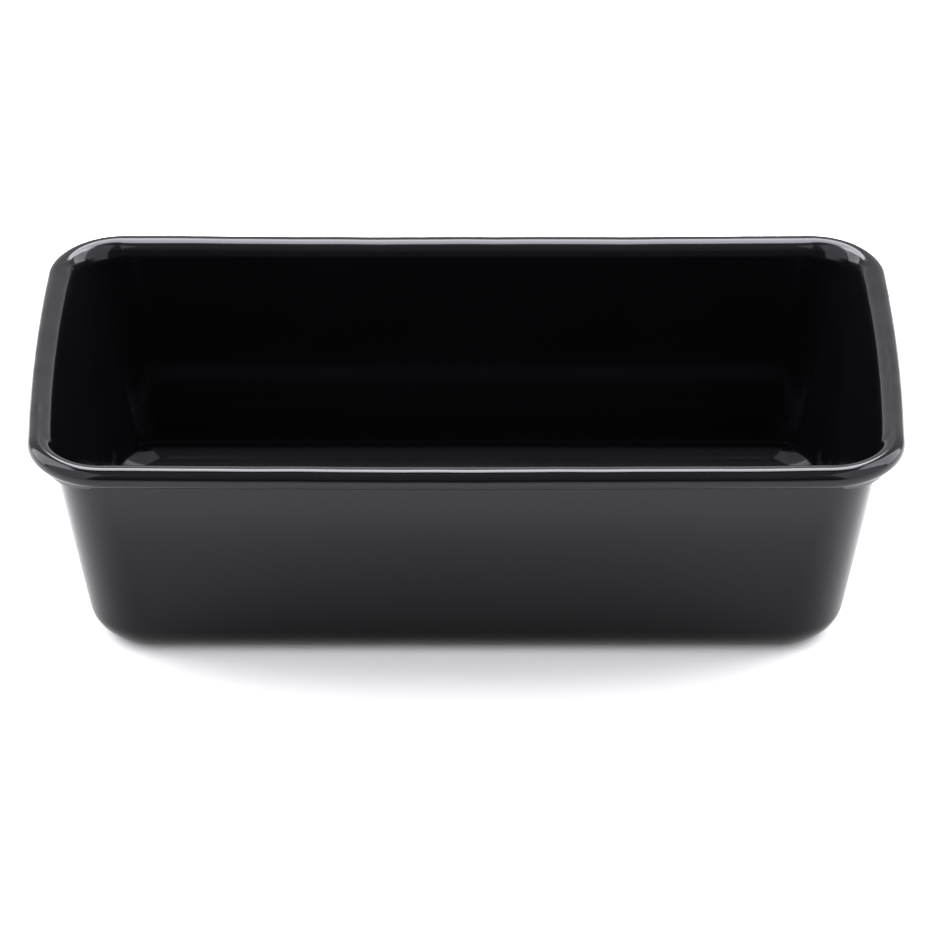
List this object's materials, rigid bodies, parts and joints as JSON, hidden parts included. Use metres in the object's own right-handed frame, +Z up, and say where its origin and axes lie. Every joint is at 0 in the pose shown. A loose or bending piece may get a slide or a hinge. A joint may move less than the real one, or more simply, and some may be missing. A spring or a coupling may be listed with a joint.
{
  "type": "loaf pan",
  "caption": "Deep-drawn steel loaf pan with tapered walls, rounded corners and a rolled, wire-stiffened rim; glossy non-stick inside, satin dark grey outside.",
  "frame": {"origin": "middle of the underside of the base, on the surface the pan stands on", "axes": "+X along the pan, +Y across it towards the back, +Z up"},
  "size_m": [0.265, 0.146, 0.076],
  "materials": {
    "drawn_steel": "cold-rolled sheet, hidden between the two films",
    "wire_steel": "bright drawn wire, hidden in the rolled rim",
    "gloss_nonstick": "glossy near-black non-stick film",
    "satin_film": "satin dark grey film"
  },
  "bodies": {
    "root": {"pan_shell": "drawn_steel", "rim_wire": "wire_steel", "interior_coating": "gloss_nonstick", "exterior_coating": "satin_film"}
  },
  "joints": []
}
